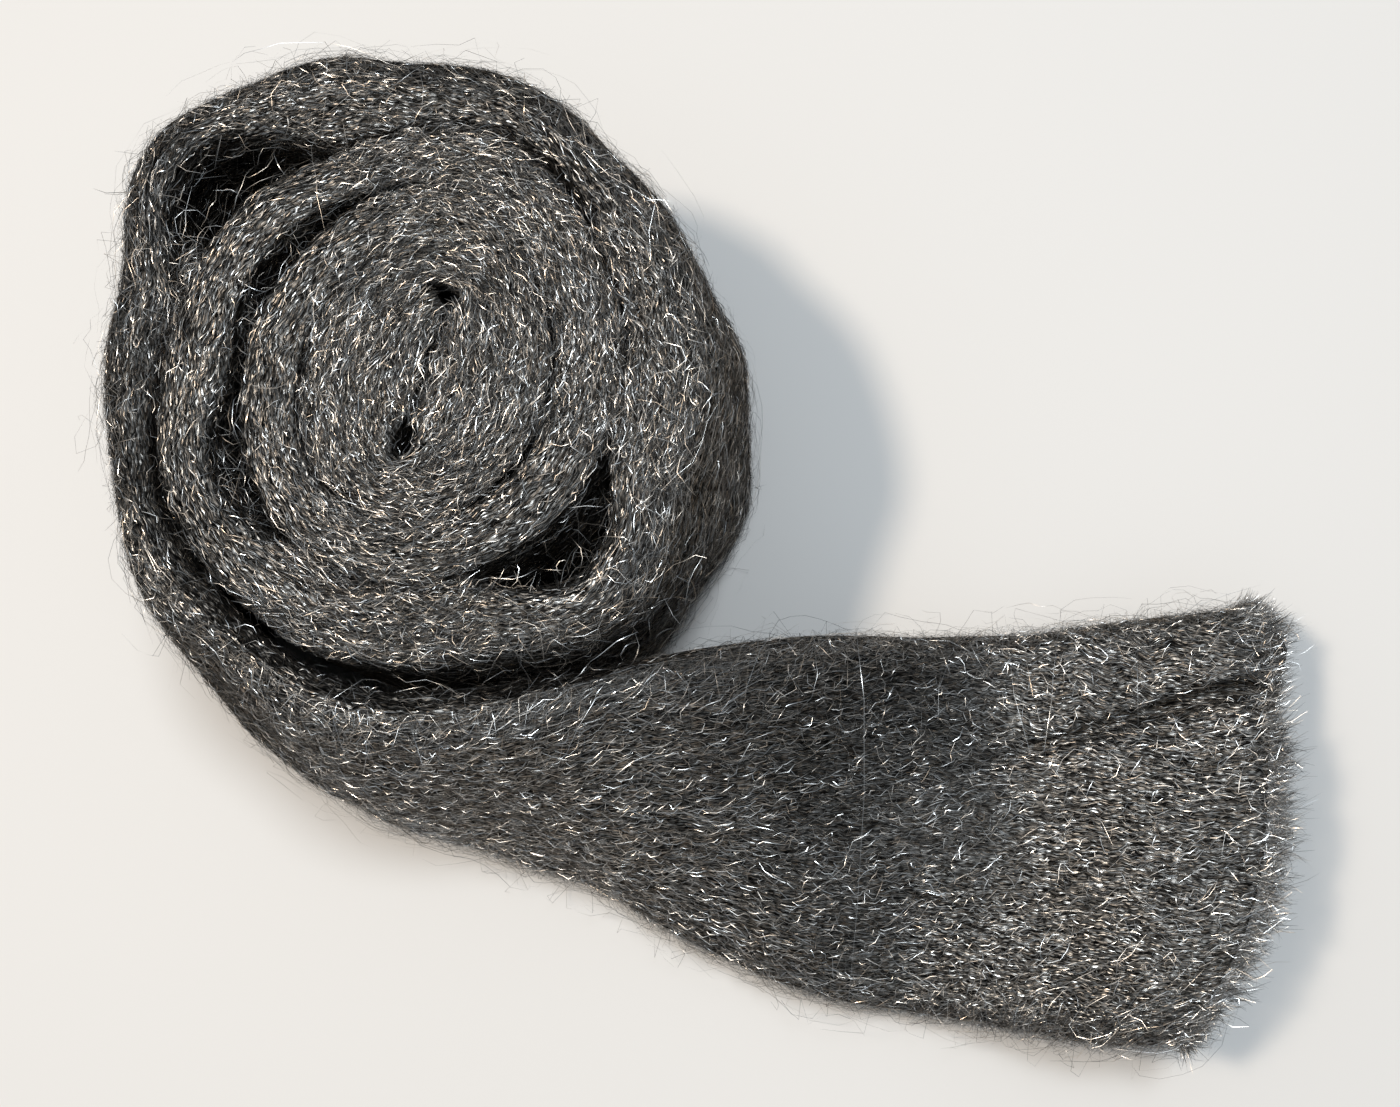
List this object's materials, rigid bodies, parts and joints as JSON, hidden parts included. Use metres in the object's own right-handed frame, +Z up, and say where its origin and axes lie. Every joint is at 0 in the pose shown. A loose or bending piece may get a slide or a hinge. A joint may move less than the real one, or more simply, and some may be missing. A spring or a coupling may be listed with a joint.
{
  "type": "steel wool roll",
  "caption": "Strip of matted steel fibre wound into a roll standing on its end, with the loose outer end leaning off it and laid flat.",
  "frame": {"origin": "on the surface the roll stands on, under the middle of the whole piece in plan", "axes": "+X from the roll towards the cut loose end, +Z up along the roll's axis"},
  "size_m": [0.2924, 0.2442, 0.1014],
  "materials": {
    "steel_wool": "matted fine fibres, dull grey with small bright glints"
  },
  "bodies": {
    "root": {"steel_wool_strip": "steel_wool"}
  },
  "joints": []
}
